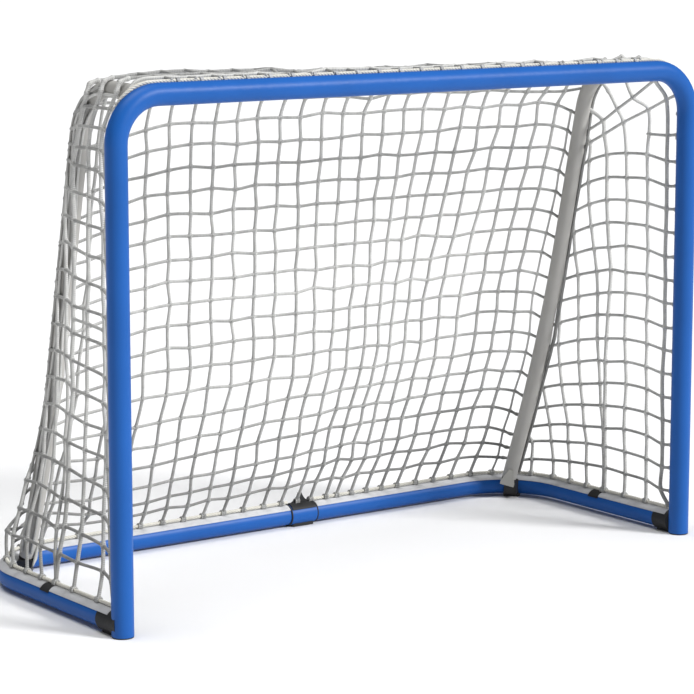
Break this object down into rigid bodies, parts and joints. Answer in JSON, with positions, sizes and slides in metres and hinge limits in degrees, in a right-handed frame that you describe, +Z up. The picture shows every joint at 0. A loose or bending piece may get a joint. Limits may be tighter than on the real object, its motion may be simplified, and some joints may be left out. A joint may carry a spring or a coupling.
{
  "type": "hockey goal",
  "caption": "Street hockey goal: bent blue tube front frame and floor frame joined by black fittings, grey back stays, and a roped square-mesh net bag.",
  "frame": {"origin": "centre of the footprint on the floor", "axes": "+X along the goal line to the right seen from the front, +Y from the mouth to the back, +Z up"},
  "size_m": [1.706, 0.703, 1.2116],
  "materials": {
    "frame_blue": "gloss powder coat",
    "stay_grey": "satin powder coat",
    "fitting_black": "fine moulded grain",
    "strip_grey": "satin vinyl",
    "rubber_black": "matt",
    "screw_steel": "zinc plated",
    "gusset_grey": "satin paint",
    "steel_inner": "mill finish",
    "net_cord": "braided polyester",
    "rope_cord": "braided polyester",
    "hook_plastic": "moulded nylon"
  },
  "bodies": {
    "root": {"front_frame": "frame_blue", "base_tube_left": "frame_blue", "base_tube_right": "frame_blue", "coupling_sleeve": "frame_blue", "stay_left": "stay_grey", "stay_right": "stay_grey", "stay_saddle_left": "stay_grey", "stay_saddle_right": "stay_grey", "post_plug_left": "fitting_black", "post_plug_right": "fitting_black", "foot_fitting_left": "fitting_black", "foot_fitting_right": "fitting_black", "coupling_saddle": "fitting_black", "corner_bracket_left": "fitting_black", "corner_bracket_right": "fitting_black", "seam_clip_left": "fitting_black", "seam_clip_right": "fitting_black", "side_strip_left": "strip_grey", "side_strip_right": "strip_grey", "rear_strip_left": "strip_grey", "rear_strip_right": "strip_grey", "coupling_ring_left": "rubber_black", "coupling_ring_right": "rubber_black", "coupling_pad": "rubber_black", "foot_bolts": "screw_steel", "foot_nuts": "screw_steel", "foot_sole_screws": "screw_steel", "coupling_screws": "screw_steel", "stay_screws": "screw_steel", "corner_screws": "screw_steel", "corner_gusset_left": "gusset_grey", "corner_gusset_right": "gusset_grey", "coupling_spigot": "steel_inner", "net_top": "net_cord", "net_rear": "net_cord", "net_side_left": "net_cord", "net_side_right": "net_cord", "hem_rope_left": "rope_cord", "hem_rope_right": "rope_cord", "border_rope": "rope_cord", "seam_rope_left": "rope_cord", "seam_rope_right": "rope_cord", "post_hooks_left": "hook_plastic", "post_hooks_right": "hook_plastic", "crossbar_hooks": "hook_plastic"}
  },
  "joints": []
}
